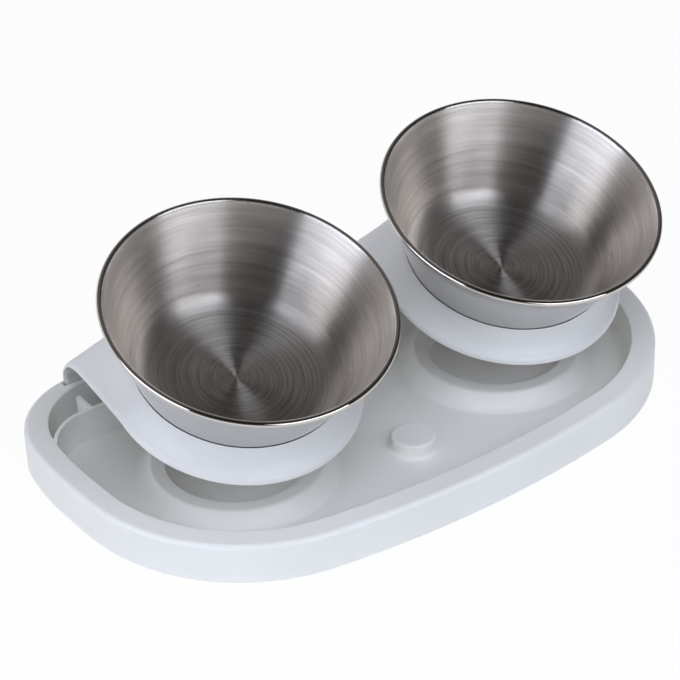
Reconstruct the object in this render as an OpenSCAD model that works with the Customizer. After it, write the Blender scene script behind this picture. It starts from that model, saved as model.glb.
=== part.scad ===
// Raised double pet bowl: a shallow tray, two tilted holders that plug into its back, and two metal bowls.
// Origin on the table, at the middle of the tray. +X runs along the row of bowls, the front faces -Y.

/* [Tray] */
// Length of the tray, side to side
tray_l = 325; // [310:1:345]
// Depth of the tray, front to back
tray_w = 190; // [186:1:205]
// Height of the rim above the tray's lower edge
tray_h = 21; // [19:0.5:26]
// Wall thickness of the tray moulding
tray_t = 2.2; // [1.8:0.1:2.6]
// Height of the floor's upper face above the tray's lower edge
floor_h = 3; // [2.8:0.1:4]
// Width of the flat rim along the front and the sides
rim_w = 12.2; // [11:0.1:14]
// Width of the flat rim along the back
rim_back_w = 9; // [8.6:0.1:11]
// Rounding of the rim's outer edge
rim_round = 2.5; // [1:0.1:3]
// Rounding of the tray's lower outer edge
base_round = 0.8; // [0.4:0.1:1.5]
// Rounding where the inner wall meets the floor
foot_round = 3; // [1.5:0.1:4]
// Radius of the front corners
front_corner_r = 93.5; // [80:0.5:100]
// Radius of the back corners
back_corner_r = 47.5; // [40:0.5:55]
// Inner radius of the back corners
back_inner_r = 39.6; // [32:0.1:46]
// Distance from the back edge to the tray's widest line
widest_back = 65; // [60:0.5:72]

/* [Wells] */
// Inner radius of the raised ring that takes a bowl set straight on the tray
well_r = 34.9; // [32:0.1:38]
// Width of the ring's flat crown
well_crown_w = 6.6; // [4:0.1:8]
// Width of the ring's outer slope
well_slope_w = 9; // [6:0.1:10]
// Height of the ring's crown above the tray's lower edge
well_h = 11.1; // [9:0.1:13]
// Distance from the back edge to the wells' centres
well_back = 97.2; // [94:0.1:101]
// Radius of the round button between the wells
button_r = 11; // [8:0.1:14]
// Height of the button above the tray's lower edge
button_h = 10.6; // [7:0.1:12]
// Rounding of the button's upper edge
button_round = 1.6; // [0.5:0.1:3]
// Distance from the back edge to the button's centre
button_back = 132.8; // [128:0.1:140]

/* [Sockets] */
// Distance from the back edge to the front face of the partition
partition_back = 32; // [31:0.1:34]
// Thickness of the partition and of the cross ribs
partition_t = 2; // [1.5:0.1:3]
// Radius of the partition's curved ends, at its front face
partition_r = 26; // [20:0.5:32]
// Height of a cross rib at its free end
rib_low_h = 20.4; // [18:0.1:21]
// Length of a cross rib behind the partition
rib_l = 12.5; // [10:0.5:15]
// Depth of the slot in the back rim
slot_deep = 10; // [6:0.5:12]
// Clearance round a holder's back skirt and its foot
slot_gap = 0.5; // [0.3:0.1:0.8]

/* [Feet] */
// Radius of a rubber pad
pad_r = 6.5; // [5:0.1:7]
// How far a pad lifts the tray off the table
pad_stand = 0.6; // [0.4:0.1:1.2]
// How far a pad is let into the floor
pad_inset = 1; // [0.6:0.1:1.2]
// Wall of the ring moulded round a pad
pad_wall = 1.4; // [1:0.1:2]

/* [Bowls] */
// Distance between the two bowls' centres
pitch = 159; // [152:0.5:166]
// Outer diameter of a bowl's rim
bowl_d = 140; // [132:0.5:146]
// Inside depth of a bowl
bowl_deep = 50.2; // [46:0.1:54]
// Thickness of the sheet steel
bowl_t = 0.8; // [0.5:0.1:1]
// Radius of the bead rolled round the rim
bead_r = 1.5; // [1.2:0.1:2]
// Outer radius of the bend between the wall and the flat bottom
bend_r = 14; // [8:0.5:18]
// Distance from the tray's back edge to the middle of a rim
rim_back = 116.1; // [112:0.1:120]
// Height of the middle of a rim above the tray's lower edge
rim_h = 107.7; // [100:0.1:116]

/* [Holders] */
// Wall thickness of a holder
shell_t = 2.6; // [2:0.1:3]
// Depth below the rim at which the collar meets the bowl
collar_deep = 39.5; // [37:0.1:41]
// Depth below the rim of the collar's lower front edge
hood_deep = 52.5; // [51:0.1:56]
// Radius of the collar's lower front edge
hood_r = 61; // [59:0.1:63]
// Width of the neck at the back
neck_w = 83; // [78:0.5:88]
// Distance from the tray's back edge to the skirt's outer face
skirt_back = 3.5; // [3.3:0.1:4.2]
// Height of the neck's back corners above the tray's lower edge
back_h = 19; // [17:0.5:21]
// Height of the side hem where it leaves the collar
hem_h = 58; // [55:0.1:60]
// Steady fall of the side hem towards the back
side_fall = 16.8; // [12:0.1:20]
// Further fall of the side hem close to the back
back_fall = 16; // [12:0.1:18]
// Radius of the rolled back edge
roll_r = 20; // [14:0.5:22]
// Radius of the rolled hem on the front and the sides
hem_r = 2.9; // [2.7:0.1:3.2]
// Width of the foot that stands in the socket
foot_w = 48; // [36:1:60]
// Length of the seat under the collar, along the bowl's axis
seat_l = 6; // [4:0.5:8]
// Gap between a bowl and its collar
seat_gap = 0.3; // [0.2:0.05:0.5]

/* [Angles] */
// Forward tilt of the bowls
tilt = 17.7; // [14:0.1:20]
// Lean of a bowl's wall from its axis
wall_lean = 24; // [22:0.1:26]
// Bow of the tray's front edge, from its middle to a corner
front_bow = 9; // [6:0.5:12]
// Bow of the tray's sides in front of the widest line
side_bow = 5; // [3:0.5:7]
// Bow of the tray's sides behind the widest line
back_bow = 10; // [8:0.5:14]
// Slope of the collar where it leaves the bowl
collar_slope = 52; // [48:0.5:60]
// Slope of the hood where it reaches its front hem
front_slope = 45; // [40:0.5:52]
// Slope of the hood where it reaches its side hem
side_slope = 40; // [34:0.5:50]
// Slope across the side hem close to the back corners
corner_slope = 48; // [42:0.5:54]
// Slope of the hood where it reaches its back roll
back_slope = 50; // [44:0.5:56]

/* [Hidden] */
$fn = 96;
// Overrun of every cut
over = 0.5;
// Sampling of the sheet-metal bends and of the rolled hems
bend_steps = 8;
bead_steps = 16;
hem_steps = 3;
hood_steps = 6;
front_step = 8;
side_step = 5;
back_step = 4.5;

back_y = tray_w / 2;
widest_y = back_y - widest_back;
well_y = back_y - well_back;
button_y = back_y - button_back;
partition_y = back_y - partition_back;
skirt_y = back_y - skirt_back;
rim_y = back_y - rim_back;
neck_half = neck_w / 2;
bowl_r = bowl_d / 2;
socket_y = partition_y + partition_t;
inner_back_y = back_y - rim_back_w;

// Outline of the tray as a chain of tangent arcs. Each arc is [centre x, centre y, radius, start, sweep].
function front_b1(l, r) = l - r * (cos(side_bow) - sin(front_bow));
function front_b2(d, r) = d - r * (cos(front_bow) - sin(side_bow));
function front_det() = sin(front_bow) * sin(side_bow) - (1 - cos(side_bow)) * (1 - cos(front_bow));
function bow_front_r(l, d, r) =
    (front_b1(l, r) * sin(side_bow) - (1 - cos(side_bow)) * front_b2(d, r)) / front_det();
function bow_side_r(l, d, r) =
    (sin(front_bow) * front_b2(d, r) - (1 - cos(front_bow)) * front_b1(l, r)) / front_det();
function bow_back_r(run, r) = (run - r * (1 - sin(back_bow))) / sin(back_bow);
function step_centre(c, from_r, to_r, a) = c + (from_r - to_r) * [cos(a), sin(a)];

function outline_arcs(inset, back_inset, back_r) =
    let (
        l = tray_l / 2 - inset,
        d = tray_w - widest_back - inset,
        run = widest_back - back_inset,
        r = front_corner_r - inset,
        r1 = bow_front_r(l, d, r),
        r3 = bow_side_r(l, d, r),
        r4 = bow_back_r(run, back_r),
        c1 = [0, widest_y - d + r1],
        c2 = step_centre(c1, r1, r, front_bow - 90),
        c3 = step_centre(c2, r, r3, -side_bow),
        c4 = [l - r4, widest_y],
        c5 = step_centre(c4, r4, back_r, back_bow)
    )
    [
        [c1[0], c1[1], r1, -90, front_bow],
        [c2[0], c2[1], r, front_bow - 90, 90 - side_bow - front_bow],
        [c3[0], c3[1], r3, -side_bow, side_bow],
        [c4[0], c4[1], r4, 0, back_bow],
        [c5[0], c5[1], back_r, back_bow, 90 - back_bow]
    ];

outer_arcs = outline_arcs(0, 0, back_corner_r);
inner_arcs = outline_arcs(rim_w, rim_back_w, back_inner_r);

function arc_points(c, r, from, to, steps) =
    [for (i = [0:steps]) c + r * [cos(from + (to - from) * i / steps), sin(from + (to - from) * i / steps)]];
function backwards(points) = [for (i = [len(points) - 1:-1:0]) points[i]];
function mirrored(points) = [for (p = backwards(points)) [-p[0], p[1]]];

// Points along the arcs from first to last on the right side, moved outwards by grow.
arc_steps = [5, 16, 3, 3, 14];
function arc_point(a, grow, share) =
    [a[0], a[1]] + (a[2] + grow) * [cos(a[3] + a[4] * share), sin(a[3] + a[4] * share)];
function run(arcs, grow, first, last) =
    concat([for (i = [first:last]) for (k = [0:arc_steps[i] - 1]) arc_point(arcs[i], grow, k / arc_steps[i])],
           [arc_point(arcs[last], grow, 1)]);
function closed_run(arcs, grow) =
    let (half = run(arcs, grow, 0, 4))
    concat(half, [for (i = [len(half) - 1:-1:1]) [-half[i][0], half[i][1]]]);

// The dish: outer wall, rounded rim, inner wall and floor, as one loft of closed outlines.
// Each ring of the loft is [outline, distance outwards, height].
edge_round = base_round;
base_angles = [-90, -45, 0];
rim_angles = [0, 18, 36, 54, 72, 90];
edge_angles = [90, 135, 180];
foot_angles = [0, -30, -60, -90];
dish_rings = concat(
    [for (a = base_angles) [outer_arcs, base_round * (cos(a) - 1), base_round * (1 + sin(a))]],
    [for (a = rim_angles) [outer_arcs, rim_round * (cos(a) - 1), tray_h + rim_round * (sin(a) - 1)]],
    [for (a = edge_angles) [inner_arcs, edge_round * (1 + cos(a)), tray_h + edge_round * (sin(a) - 1)]],
    [for (a = foot_angles) [inner_arcs, foot_round * (cos(a) - 1), floor_h + foot_round * (1 + sin(a))]]
);

module dish() {
    rings = [for (r = dish_rings) [for (p = closed_run(r[0], r[1])) [p[0], p[1], r[2]]]];
    n = len(rings[0]);
    last = len(rings) - 1;
    sides = [for (i = [0:last - 1]) for (j = [0:n - 1])
                let (a = i * n + j, b = a + n, c = (i + 1) * n + (j + 1) % n, d = i * n + (j + 1) % n)
                for (f = [[a, b, c], [a, c, d]]) f];
    polyhedron([for (r = rings) for (p = r) p],
               concat([[for (j = [0:n - 1]) j]], sides, [[for (j = [n - 1:-1:0]) last * n + j]]));
}

module under_floor() {
    translate([0, 0, -over])
        linear_extrude(floor_h - tray_t + over)
            polygon(closed_run(inner_arcs, 0));
}

// Roofs of the hollow under the rim: at the front and sides, and under the slots at the back.
hollow_top = tray_h - tray_t;
hollow_back_top = tray_h - slot_deep - tray_t;

module front_hollow() {
    outer = run(outer_arcs, -tray_t, 0, 2);
    inner = run(inner_arcs, tray_t, 0, 2);
    translate([0, 0, -over])
        linear_extrude(hollow_top + over)
            polygon(concat([for (i = [len(outer) - 1:-1:1]) [-outer[i][0], outer[i][1]]], outer,
                           backwards(inner), [for (i = [1:len(inner) - 1]) [-inner[i][0], inner[i][1]]]));
}

// The arcs behind the widest line start a little later, which leaves a web between the two hollows.
function webbed(arcs) =
    let (a = arcs[3], web = asin(tray_t / a[2]))
    [arcs[0], arcs[1], arcs[2], [a[0], a[1], a[2], a[3] + web, a[4] - web], arcs[4]];

module back_hollow() {
    outer = run(webbed(outer_arcs), -tray_t, 3, 4);
    inner = run(webbed(inner_arcs), tray_t, 3, 4);
    translate([0, 0, -over])
        linear_extrude(hollow_back_top + over)
            polygon(concat(outer, mirrored(outer), backwards(mirrored(inner)), backwards(inner)));
}

well_crown_r = well_r + well_crown_w;
well_foot_r = well_crown_r + well_slope_w;
ring_rise = well_h - floor_h;
crown_round = tray_t;
lip_shares = [0.75, 0.3, 0.08];

// The ring's upper face, from its inner wall over the crown and down a slope that flattens out.
function ring_face(shift) = [
    [well_r + shift, floor_h - shift],
    [well_r + shift, well_h - shift - lip_shares[1] * crown_round],
    [well_r + lip_shares[1] * crown_round + shift / 2, well_h - shift],
    [well_crown_r - shift / 2, well_h - shift],
    [well_crown_r + 0.35 * well_slope_w - shift, floor_h + lip_shares[0] * ring_rise - shift],
    [well_crown_r + 0.7 * well_slope_w - shift, floor_h + lip_shares[1] * ring_rise - shift],
    [well_crown_r + 0.88 * well_slope_w - shift, floor_h + lip_shares[2] * ring_rise - shift],
    [well_foot_r - shift, floor_h - shift]
];

module well_ring() {
    rotate_extrude()
        polygon(concat(ring_face(0), [[well_foot_r, floor_h - tray_t], [well_r, floor_h - tray_t]]));
}

module well_hollow() {
    face = ring_face(tray_t);
    rotate_extrude()
        polygon(concat([for (i = [1:len(face) - 2]) face[i]],
                       [[well_foot_r - 2 * tray_t, floor_h - tray_t - over],
                        [well_r + tray_t, floor_h - tray_t - over]]));
}

button_foot = 0.18 * button_r;

module button() {
    rotate_extrude()
        polygon(concat([[0, floor_h - tray_t], [button_r + button_foot, floor_h - tray_t],
                        [button_r + button_foot, floor_h]],
                       arc_points([button_r + button_foot, floor_h + button_foot], button_foot, 270, 180, 4),
                       arc_points([button_r - button_round, button_h - button_round], button_round, 0, 90, 5),
                       [[0, button_h]]));
}

module button_hollow() {
    translate([0, 0, floor_h - tray_t - over])
        cylinder(button_h - floor_h + over, r = button_r - tray_t);
}

// The wall behind the wells, with ends that curve forward into the side walls.
partition_half = tray_l / 2 - rim_w - partition_r + 0.04 * partition_r;
partition_turn = 62;
partition_steps = 12;

// Plan of the right end of the partition at radius r, from its tip to the straight part.
function partition_end(r) =
    arc_points([partition_half, partition_y - partition_r], r, 90 - partition_turn, 90, partition_steps);

module partition() {
    front = partition_end(partition_r);
    back = partition_end(partition_r + partition_t);
    translate([0, 0, floor_h - tray_t / 2])
        linear_extrude(tray_h - floor_h + tray_t / 2)
            polygon(concat(front, mirrored(front), backwards(mirrored(back)), backwards(back)));
}

// Cross ribs behind the partition, one at each end of a socket.
module cross_rib() {
    translate([-partition_t / 2, 0, 0])
        rotate([90, 0, 90])
            linear_extrude(partition_t)
                polygon([[partition_y + partition_t / 2, floor_h - tray_t / 2],
                         [socket_y + rib_l, floor_h - tray_t / 2],
                         [socket_y + rib_l, rib_low_h],
                         [socket_y, tray_h],
                         [partition_y + partition_t / 2, tray_h]]);
}

slot_half = neck_half + slot_gap;
slot_w = shell_t + 2 * slot_gap;

module slot() {
    translate([-slot_half, skirt_y - shell_t - slot_gap, tray_h - slot_deep])
        cube([2 * slot_half, slot_w, slot_deep + over]);
}

// Places of the rubber pads, clear of the rings above them.
pad_x_shares = [0.726, 0.79];
pad_y_shares = [0.485, 0.42];
pad_front = [pad_x_shares[0] * tray_l / 2, -pad_y_shares[0] * tray_w / 2];
pad_back = [pad_x_shares[1] * tray_l / 2, pad_y_shares[1] * tray_w / 2];
pad_places = [[-pad_front[0], pad_front[1]], pad_front, [-pad_back[0], pad_back[1]], pad_back];
pad_fit = seat_gap / 2;
pad_ring_h = floor_h - tray_t;

module pad_ring() {
    translate([0, 0, base_round / 2])
        cylinder(pad_ring_h, r = pad_r + pad_fit + pad_wall);
}

module pad_hole() {
    translate([0, 0, -over])
        cylinder(pad_ring_h + pad_inset + over, r = pad_r + pad_fit);
}

module tray() {
    color("whitesmoke")
        translate([0, 0, pad_stand])
            difference() {
                union() {
                    difference() {
                        dish();
                        under_floor();
                    }
                    partition();
                    for (side = [-1, 1]) {
                        translate([side * pitch / 2, well_y, 0])
                            well_ring();
                        for (end = [-1, 1])
                            translate([side * pitch / 2 + end * (slot_half - partition_t / 2), 0, 0])
                                cross_rib();
                    }
                    translate([0, button_y, 0])
                        button();
                    for (p = pad_places)
                        translate(p)
                            pad_ring();
                }
                front_hollow();
                back_hollow();
                for (side = [-1, 1]) {
                    translate([side * pitch / 2, well_y, 0])
                        well_hollow();
                    translate([side * pitch / 2, 0, 0])
                        slot();
                }
                translate([0, button_y, 0])
                    button_hollow();
                for (p = pad_places)
                    translate(p)
                        pad_hole();
            }
}

module pad(place) {
    color("dimgray")
        translate(place)
            rotate_extrude()
                polygon([[0, 0], [pad_r - pad_stand, 0], [pad_r, pad_stand],
                         [pad_r, pad_stand + pad_ring_h + pad_inset],
                         [0, pad_stand + pad_ring_h + pad_inset]]);
}

// The bowl in its own frame: axis up, the top of the rim at height zero.
bead_c = [bowl_r - bead_r, -bead_r];
bend_z = bend_r - bowl_deep - bowl_t;
flat_r = bead_c[0]
    - (bead_r + bend_r - bowl_t - sin(wall_lean) * (bend_z - bead_c[1])) / cos(wall_lean);
bead_turn = acos((bead_r - bowl_t) / bead_r);

// Outer radius of the wall at a depth below the rim.
function wall_r(deep) = bead_c[0] - (bead_r - bowl_t + sin(wall_lean) * (deep + bead_c[1])) / cos(wall_lean);

bowl_profile = concat(
    [[0, -bowl_deep - bowl_t]],
    arc_points([flat_r, bend_z], bend_r, -90, -wall_lean, bend_steps),
    arc_points(bead_c, bead_r, bead_turn - 180 - wall_lean, 180 - wall_lean, bead_steps),
    arc_points([flat_r, bend_z], bend_r - bowl_t, -wall_lean, -90, bend_steps),
    [[0, -bowl_deep]]
);

// Puts a shape drawn in the bowl's frame where the bowl is held.
module at_bowl() {
    translate([0, rim_y, rim_h + pad_stand])
        rotate([tilt, 0, 0])
            children();
}

module bowl(side) {
    color("silver")
        translate([side * pitch / 2, 0, 0])
            at_bowl()
                rotate_extrude()
                    polygon(bowl_profile);
}

// The hood is the holder's draped shell: a collar round the bowl that runs out into a neck.
// It is lofted from ribs. Each starts on the collar's circle and ends on the hem.
axis = [0, -sin(tilt), cos(tilt)];
up_back = [0, cos(tilt), sin(tilt)];
across = [1, 0, 0];
rim_mid = [0, rim_y, rim_h + pad_stand];
collar_r = wall_r(collar_deep) + seat_gap / cos(wall_lean);
collar_mid = rim_mid - collar_deep * axis;
hem_mid = rim_mid - hood_deep * axis;
hem_y = hem_mid[1] + 0.235 * hood_r;
neck_run = (skirt_y - hem_mid[1]) / cos(tilt);
side_turn = 90 + atan2(neck_run, neck_half) - acos(hood_r / norm([neck_run, neck_half]));
corner_turn = 180 - atan2(neck_half, neck_run);
corner_soft = 1.5 * shell_t;
corner_span = 3.5 * shell_t;
back_from = 95;
hood_lead = shell_t / 2;
handle_shares = [0.24, 0.4, 0.46, 0.35];
steep_share = 0.68;

function unit(v) = v / norm(v);
function blend(a, b, share) = a + (b - a) * share;
function clamped(v) = min(1, max(0, v));
function eased(v) = let (s = clamped(v)) s * s * (3 - 2 * s);
function soft_min(a, b, soft) =
    let (s = clamped(0.5 + 0.5 * (b - a) / soft))
    blend(b, a, s) - soft * s * (1 - s);

// The turn of a rib from the front, folded to 0 to 180.
function folded(turn) = abs(turn > 180 ? 360 - turn : turn);
// How far the side hem and the back edge lie from the collar's axis, along a rib's turn.
function side_reach(turn) = folded(turn) <= side_turn ? hood_r : hood_r / cos(folded(turn) - side_turn);
function back_reach(turn) = (skirt_y - hem_mid[1]) / (-cos(turn) * cos(tilt));
function hem_reach(turn) =
    folded(turn) < back_from ? hood_r : soft_min(side_reach(turn), back_reach(turn), corner_soft);
function hem_plan(turn) =
    [hem_reach(turn) * sin(turn), hem_mid[1] - hem_reach(turn) * cos(turn) * cos(tilt)];
// How much of a rib belongs to the back edge.
function back_share(turn) =
    folded(turn) < back_from ? 0 : eased(0.5 + (side_reach(turn) - back_reach(turn)) / corner_span);

function side_hem_z(y) =
    let (s = max(0, y - hem_y) / (skirt_y - hem_y))
    hem_h + pad_stand - side_fall * (y - hem_y) / (skirt_y - hem_y) - back_fall * pow(s, 8);
function front_hem_z(y) = hem_mid[2] + (y - hem_mid[1]) * tan(tilt);
back_hem_z = back_h + pad_stand;
function hem_z(turn) =
    let (p = hem_plan(turn))
    blend(soft_min(front_hem_z(p[1]), side_hem_z(p[1]), shell_t), back_hem_z, back_share(turn));

// Towards a back corner the slopes pass from those at the side hem to those at the back edge.
function slope_share(turn) =
    folded(turn) < back_from ? 0 : eased(0.5 + (side_reach(turn) - back_reach(turn)) / neck_half);
function side_plan(turn) =
    [side_reach(turn) * sin(turn), hem_mid[1] - side_reach(turn) * cos(turn) * cos(tilt)];
// Slope of the hem towards the back. Close to the back corner it no longer steepens.
function top_z(y) = soft_min(front_hem_z(y), side_hem_z(y), shell_t);
function top_slope(turn) =
    let (y = min(side_plan(turn)[1], blend(hem_y, skirt_y, steep_share)), step = 0.4 * hem_r)
    (top_z(y + step) - top_z(y - step)) / (2 * step);
function side_part(turn) = clamped((side_plan(turn)[1] - hem_y) / (skirt_y - hem_y));

// One rib: a Bezier curve down the hood, the rolled hem, and a short run straight down.
// A rib keeps to its own direction in plan. Its end follows the slopes along and across the hem.
function rib(turn) =
    let (
        share = back_share(turn),
        ease = slope_share(turn),
        front = clamped((90 - folded(turn)) / 60),
        flank = blend(side_slope, corner_slope, eased(side_part(turn))),
        slope = blend(blend(flank, back_slope, ease), front_slope, front),
        roll = blend(hem_r, roll_r, share),
        radial = sin(turn) * across - cos(turn) * up_back,
        start = collar_mid + collar_r * radial,
        plan = hem_plan(turn),
        edge = [plan[0], plan[1], hem_z(turn)],
        heading = unit([plan[0] - start[0], plan[1] - start[1], 0]),
        span = side_plan(turn + 1) - side_plan(turn - 1),
        along = [span[0], span[1], 0] / norm(span),
        out = [along[1], -along[0], 0],
        fall = top_slope(turn) * along[1],
        facing = blend(heading * out, heading[1], ease),
        drift = (1 - ease) * fall * (heading * along) / (heading * out),
        start_dir = cos(collar_slope) * radial - sin(collar_slope) * axis,
        end_dir = unit(heading + [0, 0, (drift - tan(slope)) * facing]),
        inset = roll * (1 - sin(slope)),
        end = edge - inset / facing * heading + [0, 0, roll * cos(slope) - drift * inset],
        reach = norm(end - start),
        p1 = start + blend(handle_shares[0], handle_shares[1], ease) * reach * start_dir,
        p2 = end - blend(handle_shares[2], handle_shares[3], ease) * reach * end_dir
    )
    concat(
        [start - hood_lead * start_dir],
        [for (i = [1:hood_steps])
            let (u = i / hood_steps, v = 1 - u)
            v * v * v * start + 3 * v * v * u * p1 + 3 * v * u * u * p2 + u * u * u * end],
        [for (i = [1:hem_steps])
            let (a = slope + (90 - slope) * i / hem_steps, step = roll * (1 - sin(a)))
            edge - step / facing * heading + [0, 0, roll * cos(a) - drift * step]],
        [edge - [0, 0, shell_t / 2]]
    );

corner_steps = [-10, -7, -4.5, -2.7, -1.3, 0, 1.3, 2.7, 4.5, 7, 10];
half_turns = concat(
    [for (a = [0:front_step:104]) a],
    [for (a = [109:side_step:corner_turn - 11]) a],
    [for (a = corner_steps) corner_turn + a],
    [for (a = [corner_turn + 10 + back_step:back_step:178]) a],
    [180]
);
turns = concat([for (a = half_turns) a], [for (i = [len(half_turns) - 2:-1:1]) 360 - half_turns[i]]);
hood_outer = [for (a = turns) rib(a)];
rib_count = len(turns);
last_point = len(hood_outer[0]) - 1;

function skin_normal(skin, i, j) =
    let (
        n = len(skin),
        m = len(skin[0]) - 1,
        down = skin[i][min(m, j + 1)] - skin[i][max(0, j - 1)],
        round = skin[(i + 1) % n][j] - skin[(i + n - 1) % n][j]
    )
    unit(cross(down, round));
function sunk(skin, depth) =
    [for (i = [0:len(skin) - 1]) [for (j = [0:len(skin[0]) - 1]) skin[i][j] - depth * skin_normal(skin, i, j)]];

hood_inner = sunk(hood_outer, shell_t);

module hood() {
    loop = 2 * (last_point + 1);
    points = [for (i = [0:rib_count - 1])
                for (p = concat(hood_outer[i], [for (j = [last_point:-1:0]) hood_inner[i][j]])) p];
    faces = [for (i = [0:rib_count - 1]) for (j = [0:loop - 1])
                let (a = i * loop, b = ((i + 1) % rib_count) * loop, k = (j + 1) % loop)
                for (f = [[a + j, b + j, b + k], [a + j, b + k, a + k]]) f];
    polyhedron(points, faces);
}

// The space that a bowl and its gap take, cut out of the collar and its seat.
module bowl_space() {
    low = collar_deep + seat_l + over;
    high = collar_deep - seat_l;
    gap = seat_gap / cos(wall_lean);
    translate([0, 0, -low])
        cylinder(low - high, r1 = wall_r(low) + gap, r2 = wall_r(high) + gap);
}

// A conical seat under the collar that carries the bowl's wall.
module seat() {
    top = collar_deep + 0.8 * shell_t;
    low = collar_deep + seat_l;
    rotate_extrude()
        polygon([[wall_r(top) - over, -top], [wall_r(top) + 0.75 * shell_t, -top],
                 [wall_r(low) + 0.75 * shell_t, -low], [wall_r(low) - over, -low]]);
}

// The flat skirt under the rolled back edge, which stands in the tray's slot.
skirt_half = neck_half - corner_soft / 2;
skirt_step = 0.05 * shell_t;
skirt_low = tray_h - slot_deep + slot_gap + pad_stand;

module skirt() {
    translate([-skirt_half, skirt_y - shell_t + skirt_step, skirt_low])
        cube([2 * skirt_half, shell_t - 2 * skirt_step, back_hem_z - shell_t / 8 - skirt_low]);
}

// The solid below the middle of the hood's wall, behind the bowl.
core_from = 140;
core_to = 220;
hood_middle = sunk([for (a = turns) if (a >= core_from && a <= core_to) rib(a)], shell_t / 2);

module neck_core() {
    n = len(hood_middle);
    m = hood_steps + 1;
    low = floor_h;
    points = concat(
        [for (r = hood_middle) for (j = [0:m - 1]) r[j]],
        [for (r = hood_middle) for (j = [0:m - 1]) [r[j][0], r[j][1], low]]);
    under = n * m;
    skin = [for (i = [0:n - 2]) for (j = [0:m - 2])
                let (a = i * m + j, b = (i + 1) * m + j)
                for (f = [[a, b, b + 1], [a, b + 1, a + 1]]) f];
    flat = [for (f = skin) [f[0] + under, f[2] + under, f[1] + under]];
    ring = concat([for (j = [0:m - 1]) j], [for (i = [1:n - 1]) i * m + m - 1],
                  [for (j = [m - 2:-1:0]) (n - 1) * m + j], [for (i = [n - 2:-1:1]) i * m]);
    sides = [for (i = [0:len(ring) - 1])
                let (a = ring[i], b = ring[(i + 1) % len(ring)])
                for (f = [[a, b, b + under], [a, b + under, a + under]]) f];
    polyhedron(points, concat(skin, flat, sides));
}

// The foot in the socket: a front wall and two webs back to the skirt.
foot_low = floor_h + slot_gap + pad_stand;
foot_y = socket_y + slot_gap;

module foot() {
    tall = rim_h - floor_h;
    intersection() {
        union() {
            translate([-foot_w / 2, foot_y, foot_low])
                cube([foot_w, shell_t, tall]);
            for (end = [-1, 1])
                translate([end * (foot_w - shell_t) / 2 - shell_t / 2, foot_y, foot_low])
                    cube([shell_t, inner_back_y - foot_round - foot_y, tall]);
        }
        neck_core();
    }
}

module holder(side) {
    color("white")
        translate([side * pitch / 2, 0, 0])
            union() {
                difference() {
                    union() {
                        hood();
                        at_bowl() seat();
                    }
                    at_bowl() bowl_space();
                }
                skirt();
                foot();
            }
}

module holder_left() { holder(-1); }
module holder_right() { holder(1); }
module bowl_left() { bowl(-1); }
module bowl_right() { bowl(1); }
module pad_front_left() { pad(pad_places[0]); }
module pad_front_right() { pad(pad_places[1]); }
module pad_back_left() { pad(pad_places[2]); }
module pad_back_right() { pad(pad_places[3]); }

tray();
holder_left();
holder_right();
bowl_left();
bowl_right();
pad_front_left();
pad_front_right();
pad_back_left();
pad_back_right();
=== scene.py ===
import math

import bmesh
import bpy
from mathutils import Matrix, Vector


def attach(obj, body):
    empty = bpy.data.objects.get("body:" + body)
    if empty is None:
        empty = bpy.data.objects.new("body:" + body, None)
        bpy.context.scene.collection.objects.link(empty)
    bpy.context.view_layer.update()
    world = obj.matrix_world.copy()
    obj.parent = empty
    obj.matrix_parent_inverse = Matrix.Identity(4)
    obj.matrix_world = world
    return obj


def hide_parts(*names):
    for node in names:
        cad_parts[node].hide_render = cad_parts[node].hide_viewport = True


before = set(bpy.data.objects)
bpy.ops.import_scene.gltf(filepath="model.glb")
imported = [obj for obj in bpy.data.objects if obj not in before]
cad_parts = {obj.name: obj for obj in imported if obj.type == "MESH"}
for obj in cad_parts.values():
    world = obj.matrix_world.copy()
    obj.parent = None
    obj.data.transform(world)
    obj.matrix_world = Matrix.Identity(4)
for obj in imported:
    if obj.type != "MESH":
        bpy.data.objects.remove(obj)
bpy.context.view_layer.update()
scene = bpy.context.scene
mm = 0.001


# Camera, at the photograph's angle.

camera_turn = math.radians(-34.684)
camera_rise = math.radians(33.678)
camera_roll = math.radians(-1.680)
camera_far = 1256.2 * mm
camera_target = Vector((10.265, 37.674, 22.03)) * mm
camera_lens, camera_sensor = 131.1, 36
camera_near, camera_end = 0.05, 20


def make_camera():
    """A camera that looks at the target from the turn, the rise and the distance above."""
    back = Vector((math.sin(camera_turn) * math.cos(camera_rise),
                   -math.cos(camera_turn) * math.cos(camera_rise),
                   math.sin(camera_rise)))
    right = Vector((math.cos(camera_turn), math.sin(camera_turn), 0))
    up = back.cross(right)
    rolled_right = right * math.cos(camera_roll) + up * math.sin(camera_roll)
    rolled_up = up * math.cos(camera_roll) - right * math.sin(camera_roll)
    data = bpy.data.cameras.new("camera")
    data.lens = camera_lens
    data.sensor_width = camera_sensor
    data.clip_start = camera_near
    data.clip_end = camera_end
    camera = bpy.data.objects.new("camera", data)
    turn = Matrix((rolled_right, rolled_up, back)).transposed().to_4x4()
    camera.matrix_world = Matrix.Translation(camera_target + back * camera_far) @ turn
    scene.collection.objects.link(camera)
    scene.camera = camera


make_camera()


# Sizes of the feeder in millimetres and slopes in degrees, in the same frame as the solids.

pad_stand = 0.6
# tray: size, walls and rim
tray_l, tray_w, tray_h, tray_t, floor_h = 325, 190, 21, 2.2, 3
rim_w, rim_back_w, rim_round, base_round, foot_round = 12.2, 9, 2.5, 0.8, 3
# tray: outline in plan
front_corner_r, back_corner_r, back_inner_r, widest_back = 93.5, 47.5, 39.6, 65
front_bow, side_bow, back_bow = 9, 5, 10
# the rings round the two wells
well_r, well_crown_w, well_slope_w, well_h, well_back = 34.9, 6.6, 9, 11.1, 97.2
well_edge_r, well_shoulder_r, well_shoulder_in, well_shoulder_end = 0.6, 2.4, 0.4, 42
well_slope_power = 1.6
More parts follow.
